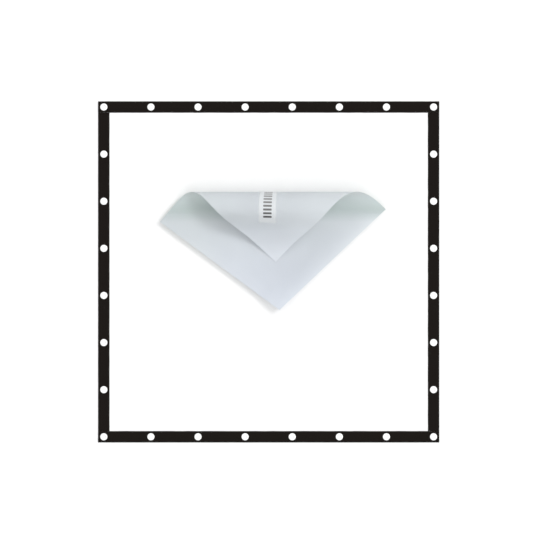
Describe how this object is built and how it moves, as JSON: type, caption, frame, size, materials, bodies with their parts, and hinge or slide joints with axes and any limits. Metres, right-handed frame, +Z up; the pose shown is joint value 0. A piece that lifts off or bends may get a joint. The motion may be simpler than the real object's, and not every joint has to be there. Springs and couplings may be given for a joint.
{
  "type": "eyeleted diffusion panel",
  "caption": "Square white diffusion cloth panel with a black webbing border, white eyelets all round, and a loose sheet of frosted cloth on it with one corner rolled over.",
  "frame": {"origin": "centre of the panel's square outline, on the plane that the washers' flat feet rest on", "axes": "+Z up out of the panel's face, X along the bottom border, +Y towards the border that the roll points at"},
  "size_m": [1.2, 1.2, 0.1371],
  "materials": {
    "diffusion_cloth": "matt white plain weave, lets light through",
    "webbing": "black ribbed polyester webbing",
    "thread": "black bonded thread",
    "eyelet": "white enamel, semi-gloss",
    "frosted_sheet": "pale grey-blue frosted cloth, translucent, soft sheen",
    "label": "white satin label with a grey printed pattern"
  },
  "bodies": {
    "panel": {"diffusion_cloth": "diffusion_cloth", "binding_top": "webbing", "stitching_top": "thread", "eyelets_top_left": "eyelet", "eyelets_top_right": "eyelet", "washers_top_left": "eyelet", "washers_top_right": "eyelet", "binding_bottom": "webbing", "stitching_bottom": "thread", "eyelets_bottom_left": "eyelet", "eyelets_bottom_right": "eyelet", "washers_bottom_left": "eyelet", "washers_bottom_right": "eyelet", "binding_left": "webbing", "stitching_left": "thread", "eyelets_left_lower": "eyelet", "eyelets_left_upper": "eyelet", "washers_left_lower": "eyelet", "washers_left_upper": "eyelet", "binding_right": "webbing", "stitching_right": "thread", "eyelets_right_lower": "eyelet", "eyelets_right_upper": "eyelet", "washers_right_lower": "eyelet", "washers_right_upper": "eyelet"},
    "sheet": {"sheet_base": "frosted_sheet"},
    "roll_1": {"sheet_roll_1": "frosted_sheet"},
    "roll_2": {"sheet_roll_2": "frosted_sheet"},
    "roll_3": {"sheet_roll_3": "frosted_sheet", "label_roll_3": "label"},
    "roll_4": {"sheet_roll_4": "frosted_sheet", "label_roll_4": "label"},
    "roll_5": {"sheet_roll_5": "frosted_sheet", "label_roll_5": "label"},
    "flap": {"sheet_flap": "frosted_sheet", "label_flap": "label"}
  },
  "joints": [
    {"name": "sheet_lift", "type": "slide", "parent": "panel", "child": "sheet", "axis": [0, 0, 1], "range_m": [0, 0.15]},
    {"name": "unroll_1", "type": "hinge", "parent": "sheet", "child": "roll_1", "pos_m": [0, 0.23993, 0.00325], "axis": [-0.9997, 0.0243, 0], "range_deg": [0, 34]},
    {"name": "unroll_2", "type": "hinge", "parent": "roll_1", "child": "roll_2", "pos_m": [0, 0.27081, 0.02541], "axis": [-0.9999, 0.0056, -0.0134], "range_deg": [0, 34.1]},
    {"name": "unroll_3", "type": "hinge", "parent": "roll_2", "child": "roll_3", "pos_m": [0, 0.28297, 0.06142], "axis": [-0.9994, -0.0018, -0.0352], "range_deg": [0, 34.2]},
    {"name": "unroll_4", "type": "hinge", "parent": "roll_3", "child": "roll_4", "pos_m": [0, 0.27186, 0.09776], "axis": [-0.9984, 0.0049, -0.0572], "range_deg": [0, 34.2]},
    {"name": "unroll_5", "type": "hinge", "parent": "roll_4", "child": "roll_5", "pos_m": [0, 0.24164, 0.12081], "axis": [-0.9972, 0.0232, -0.0711], "range_deg": [0, 34.1]},
    {"name": "unroll_6", "type": "hinge", "parent": "roll_5", "child": "flap", "pos_m": [0, 0.20365, 0.12192], "axis": [-0.9964, 0.0461, -0.0717], "range_deg": [0, 34]}
  ],
  "couplings": [
    {"joint": "unroll_2", "follows": "unroll_1", "ratio": 0.99973},
    {"joint": "unroll_3", "follows": "unroll_1", "ratio": 1.0004},
    {"joint": "unroll_4", "follows": "unroll_1", "ratio": 1.0006},
    {"joint": "unroll_5", "follows": "unroll_1", "ratio": 0.9991},
    {"joint": "unroll_6", "follows": "unroll_1", "ratio": 0.99692}
  ]
}
